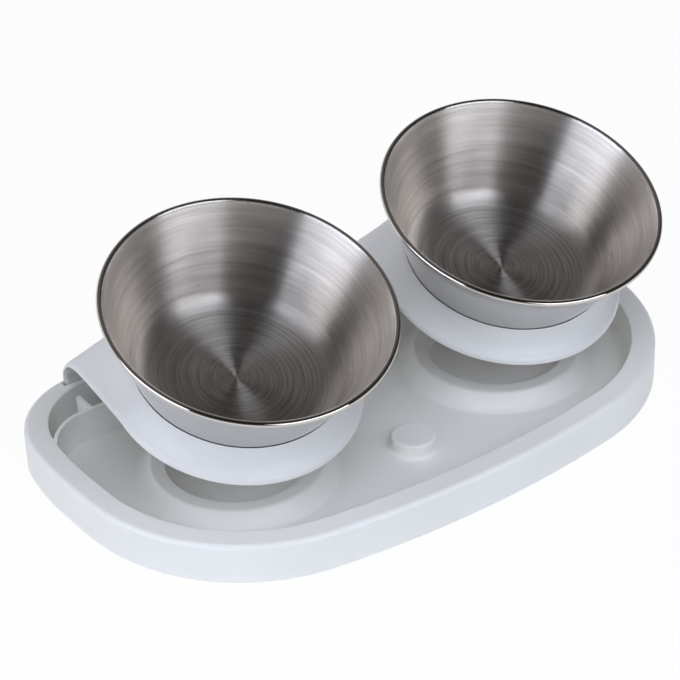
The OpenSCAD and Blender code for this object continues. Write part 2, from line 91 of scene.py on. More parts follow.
# the button between them
button_r, button_h, button_round, button_back, button_foot_share = 11, 10.6, 1.6, 132.8, 0.18
# the wall across the back, its ribs and the slots behind it
partition_back, partition_t, partition_r, rib_low_h, rib_l, rib_under = 32, 2, 26, 20.4, 12.5, 0.2
partition_in_share, partition_bend, partition_edge_r = 0.04, 62, 0.4
slot_deep, slot_gap = 10, 0.5
# rubber pads, and the seats that hold them under the tray
pad_r, pad_top, pad_edge_r, pad_top_r = 6.5, 2.4, 0.7, 0.2
pad_seat_wall, pad_seat_low, pad_seat_high, pad_hole_gap, pad_hole_h = 1.55, 0.4, 1.4, 0.15, 1.8
pad_shares = ((0.726, -0.485), (0.79, 0.42))
# bowls
pitch, bowl_d, bowl_deep, bowl_t, bead_r, bend_r = 159, 140, 50.2, 0.8, 1.5, 14
rim_back, rim_h, tilt, wall_lean = 116.1, 107.7, 17.7, 24
# holders: collar, hood, neck, hem, foot and seat
shell_t, collar_deep, hood_deep, hood_r = 2.6, 39.5, 52.5, 61
neck_w, skirt_back, back_h, hem_h = 83, 3.5, 19, 58
side_fall, back_fall, back_fall_power, roll_r, hem_r = 16.8, 16, 8, 20, 2.9
foot_w, seat_l, seat_gap, seat_top_share, seat_wall_share = 48, 6, 0.3, 0.8, 0.75
collar_slope, front_slope, side_slope, corner_slope, back_slope = 52, 45, 40, 48, 50
# drawing aids: how far tools reach past a face, pieces into each other, and sections stay off their axis
clear, overlap, axis_r = 5, 1, 0.02

back_y = tray_w / 2
widest_y = back_y - widest_back
well_y = back_y - well_back
button_y = back_y - button_back
partition_y = back_y - partition_back
socket_y = partition_y + partition_t
skirt_y = back_y - skirt_back
rim_y = back_y - rim_back
neck_half = neck_w / 2
inner_back_y = back_y - rim_back_w
sides = (-1, 1)


def sin(a):
    return math.sin(math.radians(a))


def cos(a):
    return math.cos(math.radians(a))


def blend(a, b, share):
    return a + (b - a) * share


def clamped(v):
    return min(1.0, max(0.0, v))


def eased(v):
    s = clamped(v)
    return s * s * (3 - 2 * s)


def soft_min(a, b, soft):
    s = clamped(0.5 + 0.5 * (b - a) / soft)
    return blend(b, a, s) - soft * s * (1 - s)


# Mesh helpers. Points are in millimetres and the finished meshes are in metres.

same_point, nearly_same_point = 1e-7, 0.003 * mm


def mesh_object(name, points, faces, smooth=True):
    """A closed mesh in the scene, with coincident points joined and its faces turned outward."""
    mesh = bpy.data.meshes.new(name)
    mesh.from_pydata([Vector(p) * mm for p in points], [], faces)
    build = bmesh.new()
    build.from_mesh(mesh)
    bmesh.ops.remove_doubles(build, verts=build.verts, dist=same_point)
    bmesh.ops.recalc_face_normals(build, faces=build.faces)
    build.to_mesh(mesh)
    build.free()
    mesh.polygons.foreach_set("use_smooth", [smooth] * len(mesh.polygons))
    piece = bpy.data.objects.new(name, mesh)
    scene.collection.objects.link(piece)
    return piece


def loft(rings, closed_ends=True, closed_loop=False):
    """Points and faces of a skin over closed rings with the same number of points."""
    n = len(rings[0])
    points = [p for ring in rings for p in ring]
    faces = []
    rows = len(rings) if closed_loop else len(rings) - 1
    for i in range(rows):
        a, b = i * n, ((i + 1) % len(rings)) * n
        for j in range(n):
            k = (j + 1) % n
            faces.append((a + j, a + k, b + k, b + j))
    if closed_ends and not closed_loop:
        faces.append(tuple(range(n - 1, -1, -1)))
        faces.append(tuple((len(rings) - 1) * n + j for j in range(n)))
    return points, faces


def turned(profile, steps, place):
    """Rings of a profile of (radius, height) turned about the z axis, each point then moved by place."""
    turns = [2 * math.pi * i / steps for i in range(steps)]
    return [[place((r * math.cos(a), r * math.sin(a), z)) for a in turns] for r, z in profile]


def arc(centre, r, start, end, steps):
    angles = [blend(start, end, i / steps) for i in range(steps + 1)]
    return [(centre[0] + r * cos(a), centre[1] + r * sin(a)) for a in angles]


def straight(first, last, steps):
    """The points between two corners of a section, without the corners."""
    shares = [k / steps for k in range(1, steps)]
    return [(blend(first[0], last[0], s), blend(first[1], last[1], s)) for s in shares]


def cut(piece, *tools, mode="DIFFERENCE"):
    """Cuts the tools out of the piece one after another, or joins them to it, and removes them."""
    for tool in tools:
        step = piece.modifiers.new("cut", "BOOLEAN")
        step.operation = mode
        step.solver = "EXACT"
        step.object = tool
        bpy.context.view_layer.update()
        now = piece.evaluated_get(bpy.context.evaluated_depsgraph_get())
        baked = bpy.data.meshes.new_from_object(now)
        piece.modifiers.remove(step)
        old = piece.data
        piece.data = baked
        bpy.data.meshes.remove(old)
        bpy.data.objects.remove(tool)


def weld(piece):
    """Joins the corners that a cut leaves almost in one place."""
    build = bmesh.new()
    build.from_mesh(piece.data)
    bmesh.ops.remove_doubles(build, verts=build.verts, dist=nearly_same_point)
    build.to_mesh(piece.data)
    build.free()


def smooth_by_angle(piece, angle):
    """Marks edges sharper than the angle as sharp and weights the normals by face area."""
    build = bmesh.new()
    build.from_mesh(piece.data)
    for edge in build.edges:
        edge.smooth = len(edge.link_faces) == 2 and edge.calc_face_angle(0) < math.radians(angle)
    for face in build.faces:
        face.smooth = True
    build.to_mesh(piece.data)
    build.free()
    weigh = piece.modifiers.new("weighted normals", "WEIGHTED_NORMAL")
    weigh.keep_sharp = True


def joined(name, pieces):
    """One object from several, with their places kept."""
    build = bmesh.new()
    for piece in pieces:
        build.from_mesh(piece.data)
    mesh = bpy.data.meshes.new(name)
    build.to_mesh(mesh)
    build.free()
    for piece in pieces:
        bpy.data.objects.remove(piece)
    whole = bpy.data.objects.new(name, mesh)
    scene.collection.objects.link(whole)
    return whole


# Outline of the tray, a chain of tangent arcs on the right side.

def outline_arcs(inset, back_inset, back_r):
    """Centre, radius, start and sweep of the front, front corner, side, back side and back corner.

    The corner radii are given, and the other three are solved so that every join is tangent.
    """
    l = tray_l / 2 - inset
    d = tray_w - widest_back - inset
    run = widest_back - back_inset
    r = front_corner_r - inset
    b1 = l - r * (cos(side_bow) - sin(front_bow))
    b2 = d - r * (cos(front_bow) - sin(side_bow))
    det = sin(front_bow) * sin(side_bow) - (1 - cos(side_bow)) * (1 - cos(front_bow))
    r1 = (b1 * sin(side_bow) - (1 - cos(side_bow)) * b2) / det
    r3 = (sin(front_bow) * b2 - (1 - cos(front_bow)) * b1) / det
    r4 = (run - back_r * (1 - sin(back_bow))) / sin(back_bow)

    def step(c, from_r, to_r, a):
        return (c[0] + (from_r - to_r) * cos(a), c[1] + (from_r - to_r) * sin(a))

    c1 = (0, widest_y - d + r1)
    c2 = step(c1, r1, r, front_bow - 90)
    c3 = step(c2, r, r3, -side_bow)
    c4 = (l - r4, widest_y)
    c5 = step(c4, r4, back_r, back_bow)
    return [(c1, r1, -90, front_bow), (c2, r, front_bow - 90, 90 - side_bow - front_bow),
            (c3, r3, -side_bow, side_bow), (c4, r4, 0, back_bow), (c5, back_r, back_bow, 90 - back_bow)]


outer_arcs = outline_arcs(0, 0, back_corner_r)
inner_arcs = outline_arcs(rim_w, rim_back_w, back_inner_r)
arc_steps = (10, 40, 6, 6, 34)
back_steps = 24


def half_outline(arcs, grow):
    """The right half of an outline, moved out by grow, from the front to near the middle of the back."""
    points = []
    for (c, r, start, sweep), steps in zip(arcs, arc_steps):
        for k in range(steps):
            a = start + sweep * k / steps
            points.append((c[0] + (r + grow) * cos(a), c[1] + (r + grow) * sin(a)))
    (corner_x, corner_y), r = arcs[-1][:2]
    points += [(corner_x * (1 - k / back_steps), corner_y + r + grow) for k in range(back_steps)]
    return points


def outline(arcs, grow):
    """The whole closed outline, from the middle of the front round over the right side."""
    half = half_outline(arcs, grow)
    back = (0, half[-1][1])
    return half + [back] + [(-x, y) for x, y in reversed(half[1:])]


def ring(arcs, grow, z):
    return [(x, y, z + pad_stand) for x, y in outline(arcs, grow)]


# Tray.

def tray_shell():
    """Closed shell: floor, inner wall, rim, outer wall, and the hollow under the rim."""
    rings = []
    for a in range(-90, 1, 18):
        rings.append(ring(inner_arcs, foot_round * (cos(a) - 1), floor_h + foot_round * (1 + sin(a))))
    for a in (180, 157, 135, 112, 90):
        rings.append(ring(inner_arcs, base_round * (1 + cos(a)), tray_h + base_round * (sin(a) - 1)))
    for a in range(90, -1, -10):
        rings.append(ring(outer_arcs, rim_round * (cos(a) - 1), tray_h + rim_round * (sin(a) - 1)))
    for a in (0, -30, -60, -90):
        rings.append(ring(outer_arcs, base_round * (cos(a) - 1), base_round * (1 + sin(a))))
    rings.append(ring(outer_arcs, -tray_t, 0))
    # the hollow's roof, lower behind the widest place, where the slots are
    roof = []
    inner_roof = []
    high, low = tray_h - tray_t, tray_h - slot_deep - tray_t
    for (x, y), (u, v) in zip(outline(outer_arcs, -tray_t), outline(inner_arcs, tray_t)):
        z = (high if y < widest_y + tray_t / 2 else low) + pad_stand
        roof.append((x, y, z))
        inner_roof.append((u, v, z))
    rings += [roof, inner_roof]
    rings.append(ring(inner_arcs, tray_t, 0))
    rings.append(ring(inner_arcs, 0, 0))
    rings.append(ring(inner_arcs, 0, floor_h - tray_t))
    return mesh_object("tray", *loft(rings))


def well_face(shift):
    """The ring round a well: sharp inner edge, flat crown, outer slope that runs out into the floor."""
    crown = well_r + well_crown_w
    foot = crown + well_slope_w
    points = [(well_r + shift, floor_h - shift)]
    points += arc((well_r + shift + well_edge_r, well_h - shift - well_edge_r), well_edge_r, 180, 90, 4)
    points += arc((crown - shift / 2 - well_shoulder_in, well_h - shift - well_shoulder_r),
                  well_shoulder_r, 90, well_shoulder_end, 6)
    top = points[-1]
    end = (foot - shift, floor_h - shift)
    steps = 12
    for k in range(1, steps + 1):
        s = k / steps
        z = end[1] + (top[1] - end[1]) * ((1 - s) ** well_slope_power)
        points.append((blend(top[0], end[0], s), z))
    return points


def well_ring(x):
    """The ring that stands on the tray's floor round a well."""
    outer = well_face(0)
    profile = outer + [(outer[-1][0], floor_h - tray_t / 2), (well_r, floor_h - tray_t / 2)]
    rings = turned(profile, 128, lambda p: (p[0] + x, p[1] + well_y, p[2] + pad_stand))
    return mesh_object("ring", *loft(rings, closed_ends=False, closed_loop=True))


def well_hollow(x):
    """The space under a ring, open below, which leaves the ring the tray's wall thickness."""
    low = floor_h - tray_t - overlap / 2
    face = well_face(tray_t)
    profile = [(well_r + tray_t, low)] + face[1:-1] + [(face[-2][0], low)]
    rings = turned(profile, 96, lambda p: (p[0] + x, p[1] + well_y, p[2] + pad_stand))
    return mesh_object("hollow", *loft(rings, closed_ends=False, closed_loop=True))


def button():
    """The round button: a flared foot, an upright wall and a rounded edge."""
    foot = button_foot_share * button_r
    profile = [(axis_r / 2, floor_h - tray_t / 2), (button_r + foot, floor_h - tray_t / 2)]
    profile += arc((button_r + foot, floor_h + foot), foot, 270, 180, 8)
    profile += arc((button_r - button_round, button_h - button_round), button_round, 0, 90, 8)
    profile += [(axis_r / 2, button_h)]
    rings = turned(profile, 96, lambda p: (p[0], p[1] + button_y, p[2] + pad_stand))
    return mesh_object("button", *loft(rings))


def cylinder_tool(name, x, y, r, low, high):
    rings = turned([(r, low), (r, high)], 64, lambda p: (p[0] + x, p[1] + y, p[2]))
    return mesh_object(name, *loft(rings))


def block(name, low, high):
    (x0, y0, z0), (x1, y1, z1) = low, high
    ring_0 = [(x0, y0, z0), (x1, y0, z0), (x1, y1, z0), (x0, y1, z0)]
    ring_1 = [(x, y, z1) for x, y, z in ring_0]
    return mesh_object(name, *loft([ring_0, ring_1]), smooth=False)


partition_half = tray_l / 2 - rim_w - partition_r + partition_in_share * partition_r


def partition():
    """The wall across the back, with ends that curve forward, swept from a rounded section."""
    half, edge = partition_t / 2, partition_edge_r
    middle_r = partition_r + half
    steps = 24
    path = []
    for k in range(steps + 1):
        a = partition_bend * (1 - k / steps)
        path.append(((-partition_half - middle_r * sin(a), partition_y - partition_r + middle_r * cos(a)),
                     (-sin(a), cos(a))))
    path += [((-p[0], p[1]), (-n[0], n[1])) for p, n in reversed(path)]
    section = [(-half, floor_h - overlap)] + arc((-half + edge, tray_h - edge), edge, 180, 90, 4)
    section += arc((half - edge, tray_h - edge), edge, 90, 0, 4) + [(half, floor_h - overlap)]
    rings = [[(c[0] + n[0] * s, c[1] + n[1] * s, z + pad_stand) for s, z in section] for c, n in path]
    return mesh_object("partition", *loft(rings))


def cross_rib(x):
    """A rib that runs back from the partition and slopes down to a free end."""
    half = partition_t / 2
    low, high = floor_h - overlap, tray_h - rib_under
    section = [(partition_y + half, low), (socket_y + rib_l, low), (socket_y + rib_l, rib_low_h),
               (socket_y, high), (partition_y + half, high)]
    rings = [[(x + s * half, y, z + pad_stand) for y, z in section] for s in sides]
    return mesh_object("rib", *loft(rings), smooth=False)


slot_half = neck_half + slot_gap


def slot(x):
    """The slot in the back rim that takes a holder's skirt."""
    return block("slot", (x - slot_half, skirt_y - shell_t - slot_gap, tray_h - slot_deep + pad_stand),
                 (x + slot_half, skirt_y + slot_gap, tray_h + clear))


pad_places = [(s * u * tray_l / 2, v * tray_w / 2) for u, v in pad_shares for s in sides]


def make_tray():
    """The tray: everything that stands on the shell joined first, then every hollow cut out of it."""
    tray = tray_shell()
    for s in sides:
        cut(tray, well_ring(s * pitch / 2), mode="UNION")
    cut(tray, button(), partition(), mode="UNION")
    for s in sides:
        for e in sides:
            cut(tray, cross_rib(s * pitch / 2 + e * (slot_half - partition_t / 2)), mode="UNION")
    for x, y in pad_places:
        cut(tray, cylinder_tool("seat", x, y, pad_r + pad_seat_wall, pad_stand + pad_seat_low,
                                pad_stand + pad_seat_high), mode="UNION")
    for s in sides:
        cut(tray, well_hollow(s * pitch / 2), slot(s * pitch / 2))
    cut(tray, cylinder_tool("under", 0, button_y, button_r - tray_t, pad_stand,
                            button_h - tray_t + pad_stand))
    for x, y in pad_places:
        cut(tray, cylinder_tool("hole", x, y, pad_r + pad_hole_gap, 0, pad_stand + pad_hole_h))
    smooth_by_angle(tray, angle=30)
    tray.name = "feeder_tray"
    return tray


# Bowl, drawn in its own frame and then tilted into place.

bowl_r = bowl_d / 2
bead_c = (bowl_r - bead_r, -bead_r)
bend_z = bend_r - bowl_deep - bowl_t
flat_r = bead_c[0] - (bead_r + bend_r - bowl_t - sin(wall_lean) * (bend_z - bead_c[1])) / cos(wall_lean)

bowl_steps = 256
rim_drop = 0.02
uv_span = 0.1

axis = Vector((0, -sin(tilt), cos(tilt)))
up_back = Vector((0, cos(tilt), sin(tilt)))
across = Vector((1, 0, 0))


def wall_r(deep):
    """Outer radius of the bowl's wall at a depth below the rim."""
    return bead_c[0] - (bead_r - bowl_t + sin(wall_lean) * (deep + bead_c[1])) / cos(wall_lean)


def at_bowl(side):
    """Moves a point drawn in the bowl's frame to where that bowl is held."""
    c, s = cos(tilt), sin(tilt)
    x0, y0, z0 = side * pitch / 2, rim_y, rim_h + pad_stand
    return lambda p: (p[0] + x0, p[1] * c - p[2] * s + y0, p[1] * s + p[2] * c + z0)


def bowl_outline():
    """Section of the sheet: outer bottom, bend, wall, rolled bead, and back down the inside."""
    start = math.degrees(math.acos((bead_r - bowl_t) / bead_r))
    bend_steps, bead_steps, wall_steps = 14, 22, 12
    flat = (axis_r, flat_r * 0.35, flat_r * 0.7)
    outer = arc((flat_r, bend_z), bend_r, -90, -wall_lean, bend_steps)
    bead = arc(bead_c, bead_r, start - 180 - wall_lean, 180 - wall_lean, bead_steps)
    inner = arc((flat_r, bend_z), bend_r - bowl_t, -wall_lean, -90, bend_steps)
    points = [(r, -bowl_deep - bowl_t) for r in flat] + outer + straight(outer[-1], bead[0], wall_steps)
    points += bead + straight(bead[-1], inner[0], wall_steps) + inner
    return points + [(r, -bowl_deep) for r in reversed(flat)]


def make_bowl(name, side):
    """A bowl with a UV layer whose second value counts turns, for the direction of the brushing."""
    points, faces = loft(turned(bowl_outline(), bowl_steps, at_bowl(side)))
    # the rim's highest point stays under the solid's, which is built of straight steps
    points = [(x, y, z - rim_drop) for x, y, z in points]
    piece = mesh_object(name, points, faces)
    middle = Vector(at_bowl(side)((0, 0, 0))) * mm
    layer = piece.data.uv_layers.new(name="turning")
    for face in piece.data.polygons:
        spokes = [piece.data.vertices[v].co - middle for v in face.vertices]
        angles = [math.atan2(v.dot(up_back), v.dot(across)) / (2 * math.pi) for v in spokes]
        wrap = max(angles) - min(angles) > 0.5
        for corner, v, a in zip(face.loop_indices, spokes, angles):
            r = (v - axis * v.dot(axis)).length
            layer.data[corner].uv = (r / uv_span, a + 1 if wrap and a < 0 else a)
    return piece


# Holder: the draped shell, lofted from ribs that leave the collar and land on the hem.

hood_steps = 20
hem_steps = 8
rim_mid = Vector((0, rim_y, rim_h + pad_stand))
collar_r = wall_r(collar_deep) + seat_gap / cos(wall_lean)
collar_mid = rim_mid - collar_deep * axis
hem_mid = rim_mid - hood_deep * axis
hem_start_share = 0.235
hem_y = hem_mid.y + hem_start_share * hood_r
neck_run = (skirt_y - hem_mid.y) / cos(tilt)
side_turn = 90 + math.degrees(math.atan2(neck_run, neck_half)
                              - math.acos(hood_r / math.hypot(neck_run, neck_half)))
corner_turn = 180 - math.degrees(math.atan2(neck_half, neck_run))
corner_soft = 1.5 * shell_t
corner_span = 3.5 * shell_t
back_from, front_span = 95, 60
# lengths of a rib's curve handles, as shares of its reach, in front and at the back
collar_handle, collar_handle_back = 0.24, 0.4
hem_handle, hem_handle_back = 0.46, 0.35
steep_share = 0.68
back_hem_z = back_h + pad_stand


def folded(turn):
    """The turn away from the front, 0 to 180 degrees on either side."""
    turn = turn % 360
    return abs(turn - 360 if turn > 180 else turn)


def side_reach(turn):
    """Reach in the hood's plane to its round front or the neck's straight side."""
    f = folded(turn)
    return hood_r if f <= side_turn else hood_r / cos(f - side_turn)


def back_reach(turn):
    """Reach in the hood's plane to the neck's back edge."""
    return (skirt_y - hem_mid.y) / (-cos(turn) * cos(tilt))


def hem_reach(turn):
    return hood_r if folded(turn) < back_from else soft_min(side_reach(turn), back_reach(turn), corner_soft)


def in_plan(reach, turn):
    return Vector((reach * sin(turn), hem_mid.y - reach * cos(turn) * cos(tilt)))


def toward_back(turn, span):
    """Share from the side's shape to the back's, which changes over the span round the neck's corner."""
    return 0 if folded(turn) < back_from else eased(0.5 + (side_reach(turn) - back_reach(turn)) / span)


def side_hem_z(y):
    """Height of the side hem: it falls evenly from front to back, and steeply close to the back."""
    s = (y - hem_y) / (skirt_y - hem_y)
    return hem_h + pad_stand - side_fall * s - back_fall * max(0, s) ** back_fall_power


def top_z(y):
    """Height of the hem: the hood's tilted plane in front, and the falling side hem behind."""
    front = hem_mid.z + (y - hem_mid.y) * sin(tilt) / cos(tilt)
    return soft_min(front, side_hem_z(y), shell_t)


def rib(turn):
    """Points of the outer skin along one rib: lead, curve, rolled hem and a short drop."""
    share = toward_back(turn, corner_span)
    ease = toward_back(turn, neck_half)
    front = clamped((90 - folded(turn)) / front_span)
    side = in_plan(side_reach(turn), turn)
    part = clamped((side.y - hem_y) / (skirt_y - hem_y))
    flank = blend(side_slope, corner_slope, eased(part))
    slope = blend(blend(flank, back_slope, ease), front_slope, front)
    roll = blend(hem_r, roll_r, share)
    radial = sin(turn) * across - cos(turn) * up_back
    start = collar_mid + collar_r * radial
    plan = in_plan(hem_reach(turn), turn)
    edge = Vector((plan.x, plan.y, blend(top_z(plan.y), back_hem_z, share)))
    heading = Vector((plan.x - start.x, plan.y - start.y)).normalized()
    span = in_plan(side_reach(turn + 1), turn + 1) - in_plan(side_reach(turn - 1), turn - 1)
    along = span.normalized()
    out = Vector((along.y, -along.x))
    y = min(side.y, blend(hem_y, skirt_y, steep_share))
    step = 0.4 * hem_r
    fall = (top_z(y + step) - top_z(y - step)) / (2 * step) * along.y
    facing = blend(heading.dot(out), heading.y, ease)
    drift = (1 - ease) * fall * heading.dot(along) / heading.dot(out)
    start_dir = cos(collar_slope) * radial - sin(collar_slope) * axis
    heading = heading.to_3d()
    up = Vector((0, 0, 1))
    end_dir = (heading + up * (drift - math.tan(math.radians(slope))) * facing).normalized()
    inset = roll * (1 - sin(slope))
    end = edge - inset / facing * heading + up * (roll * cos(slope) - drift * inset)
    reach = (end - start).length
    p1 = start + blend(collar_handle, collar_handle_back, ease) * reach * start_dir
    p2 = end - blend(hem_handle, hem_handle_back, ease) * reach * end_dir
    points = [start - shell_t / 2 * start_dir, start]
    for i in range(1, hood_steps + 1):
        u = i / hood_steps
        v = 1 - u
        points.append(v ** 3 * start + 3 * v * v * u * p1 + 3 * v * u * u * p2 + u ** 3 * end)
    for i in range(1, hem_steps + 1):
        a = blend(slope, 90, i / hem_steps)
        step = roll * (1 - sin(a))
        points.append(edge - step / facing * heading + up * (roll * cos(a) - drift * step))
    points.append(edge - up * shell_t / 2)
    return points


def rib_turns():
    """Where the ribs stand: 2 degrees apart in front, closer at the sides and at the neck's corners."""
    side_from, side_step, corner_step, corner_ribs, back_ribs = 104, 1.5, 0.75, 16, 8
    near = corner_ribs * corner_step
    half = [a * 2.0 for a in range(side_from // 2)]
    a = side_from
    while a < corner_turn - near:
        half.append(a)
        a += side_step
    half += [corner_turn + k * corner_step for k in range(-corner_ribs, corner_ribs + 1)]
    rest = corner_turn + near
    half += [rest + (180 - rest) * k / back_ribs for k in range(1, back_ribs + 1)]
    return half + [360 - a for a in reversed(half[1:-1])]


def skin_normals(skin):
    """The outward direction at every point of the ribs, from its neighbours."""
    n, m = len(skin), len(skin[0])
    normals = []
    for i in range(n):
        row = []
        for j in range(m):
            down = skin[i][min(m - 1, j + 1)] - skin[i][max(0, j - 1)]
            sideways = skin[(i + 1) % n][j] - skin[(i - 1) % n][j]
            row.append(down.cross(sideways).normalized())
        normals.append(row)
    return normals


def hood_shell():
    """The draped shell: the skin of the ribs and the same skin moved in by the wall's thickness."""
    outer = [rib(a) for a in rib_turns()]
    rings = []
    for skin, normals in zip(outer, skin_normals(outer)):
        inner = [p - shell_t * n for p, n in zip(skin, normals)]
        rings.append(skin + inner[::-1])
    points, faces = loft(rings, closed_ends=False, closed_loop=True)
    return mesh_object("shell", points, faces)


def bowl_space():
    """The cone that the bowl and its gap take out of the collar and its seat."""
    low, high = collar_deep + seat_l + overlap, collar_deep - seat_l
    gap = seat_gap / cos(wall_lean)
    rings = turned([(wall_r(low) + gap, -low), (wall_r(high) + gap, -high)], bowl_steps, at_bowl(0))
    return mesh_object("bowl_space", *loft(rings))


def seat():
    """The conical seat under the collar that carries the bowl's wall."""
    top, low = collar_deep + seat_top_share * shell_t, collar_deep + seat_l
    wall = seat_wall_share * shell_t
    profile = [(wall_r(top) - overlap, -top), (wall_r(top) + wall, -top),
               (wall_r(low) + wall, -low), (wall_r(low) - overlap, -low)]
    rings = turned(profile, bowl_steps, at_bowl(0))
    return mesh_object("seat", *loft(rings, closed_ends=False, closed_loop=True))


def neck_middle():
    """Points in the middle of the neck's wall over the foot, sampled from the ribs."""
    first_turn, front_y, behind_y = 130, 50, 90
    rows = [rib(a) for a in rib_turns() if first_turn < a < 360 - first_turn]
    pairs = [pair for skin, normals in zip(rows, skin_normals(rows)) for pair in zip(skin, normals)]
    return [p - shell_t / 2 * n for p, n in pairs if front_y < p.y < behind_y]


def under_height(samples, x, y):
    """Height over a place in plan, as the mean of the four nearest samples weighted by nearness."""
    softness = 0.05
    near = sorted(samples, key=lambda p: (p.x - x) ** 2 + (p.y - y) ** 2)[:4]
    weights = [1 / (softness + (p.x - x) ** 2 + (p.y - y) ** 2) for p in near]
    return sum(w * p.z for w, p in zip(weights, near)) / sum(weights)


def wall_strip(name, path, low, samples):
    """An upright wall along a path in plan, from its foot up into the neck's wall."""
    t = shell_t / 2
    rings = []
    for x, y, nx, ny in path:
        z = under_height(samples, x, y)
        near, far = (x - nx * t, y - ny * t), (x + nx * t, y + ny * t)
        rings.append([(*near, low), (*far, low), (*far, z), (*near, z)])
    return mesh_object(name, *loft(rings), smooth=False)


def skirt():
    """The plate under the neck's back edge that stands in the tray's slot.

    It lies a little inside the neck's wall, so that no two faces share a plane.
    """
    low = tray_h - slot_deep + slot_gap + pad_stand
    half = neck_half - corner_soft / 2
    y0, y1 = skirt_y - 0.05 * shell_t, skirt_y - 0.95 * shell_t
    high = back_hem_z - shell_t / 8
    rings = [[(x, y0, low), (x, y1, low), (x, y1, high), (x, y0, high)] for x in (half, -half)]
    return mesh_object("skirt", *loft(rings), smooth=False)


def make_holder(name, side):
    """A holder: hood with its seat, skirt, and a foot of one wall in front and two webs."""
    samples = neck_middle()
    low = floor_h + slot_gap + pad_stand
    front = socket_y + slot_gap + shell_t / 2
    behind = inner_back_y - foot_round
    half = (foot_w - shell_t) / 2
    steps, web_steps = 12, 8
    path = [(half * (1 - 2 * k / steps), front, 0, 1) for k in range(steps + 1)]
    strips = [wall_strip("front", path, low, samples)]
    for e in sides:
        path = [(e * half, blend(front, behind, k / web_steps), 1, 0) for k in range(web_steps + 1)]
        strips.append(wall_strip("web", path, low, samples))
    hood = hood_shell()
    cut(hood, seat(), mode="UNION")
    cut(hood, bowl_space())
    weld(hood)
    whole = joined(name, [hood, skirt()] + strips)
    for v in whole.data.vertices:
        v.co.x += side * pitch / 2 * mm
    smooth_by_angle(whole, angle=35)
    return whole


# Rubber pads.

def make_pad(name, place):
    """A round pad with a rounded foot, held in its seat under the tray."""
    x, y = place
    profile = [(axis_r, 0)] + arc((pad_r - pad_edge_r, pad_edge_r), pad_edge_r, -90, 0, 5)
    profile += arc((pad_r - pad_top_r, pad_top - pad_top_r), pad_top_r, 0, 90, 3) + [(axis_r, pad_top)]
    rings = turned(profile, 64, lambda p: (p[0] + x, p[1] + y, p[2]))
    piece = mesh_object(name, *loft(rings))
    smooth_by_angle(piece, angle=40)
    return piece


# Materials.

def linear(code):
    """An sRGB hex colour as linear red, green, blue and alpha."""
    parts = [int(code[i:i + 2], 16) / 255 for i in (0, 2, 4)]
    return tuple(c / 12.92 if c <= 0.04045 else ((c + 0.055) / 1.055) ** 2.4 for c in parts) + (1,)


def add(tree, kind, settings=None):
    """Adds a node. Each setting is a property, an input's value, or the socket that links to an input."""
    node = tree.nodes.new(kind)
    for key, value in (settings or {}).items():
        if isinstance(value, bpy.types.NodeSocket):
            tree.links.new(value, node.inputs[key])
        elif isinstance(key, int) or key in node.inputs:
            node.inputs[key].default_value = value
        else:
            setattr(node, key, value)
    return node


# places of a Mix node's colour sockets, whose names its other sockets share
mix_share, mix_first, mix_second, mix_out = 0, 6, 7, 2


def new_material(name):
    material = bpy.data.materials.new(name)
    material.use_nodes = True
    tree = material.node_tree
    tree.nodes.clear()
    return material, tree


def moulded_plastic(name, pale, deep, rough, grain_mm):
    """Injection-moulded polypropylene: satin, with a fine spark-erosion grain and faint cloudiness."""
    material, tree = new_material(name)
    place = add(tree, "ShaderNodeTexCoord").outputs["Object"]
    grain = add(tree, "ShaderNodeTexNoise", {"Scale": 1000 / grain_mm, "Detail": 2.0, "Roughness": 0.6,
                                             "Vector": place}).outputs["Fac"]
    cloud_mm = 60
    cloud = add(tree, "ShaderNodeTexNoise", {"Scale": 1000 / cloud_mm, "Detail": 3.0, "Vector": place})
    noise_low, noise_high = 0.3, 0.7
    share = add(tree, "ShaderNodeMapRange", {"From Min": noise_low, "From Max": noise_high,
                                             "Value": cloud.outputs["Fac"]})
    tone = add(tree, "ShaderNodeMix", {"data_type": "RGBA", mix_share: share.outputs["Result"],
                                       mix_first: linear(deep), mix_second: linear(pale)})
    sheen = add(tree, "ShaderNodeMapRange", {"From Min": noise_low, "From Max": noise_high,
                                             "To Min": rough - 0.03, "To Max": rough + 0.05, "Value": grain})
    bump = add(tree, "ShaderNodeBump", {"Strength": 0.12, "Distance": 0.02 * mm, "Height": grain})
    skin = add(tree, "ShaderNodeBsdfPrincipled",
               {"IOR": 1.49, "Base Color": tone.outputs[mix_out], "Roughness": sheen.outputs["Result"],
                "Normal": bump.outputs["Normal"]})
    add(tree, "ShaderNodeOutputMaterial", {"Surface": skin.outputs["BSDF"]})
    return material


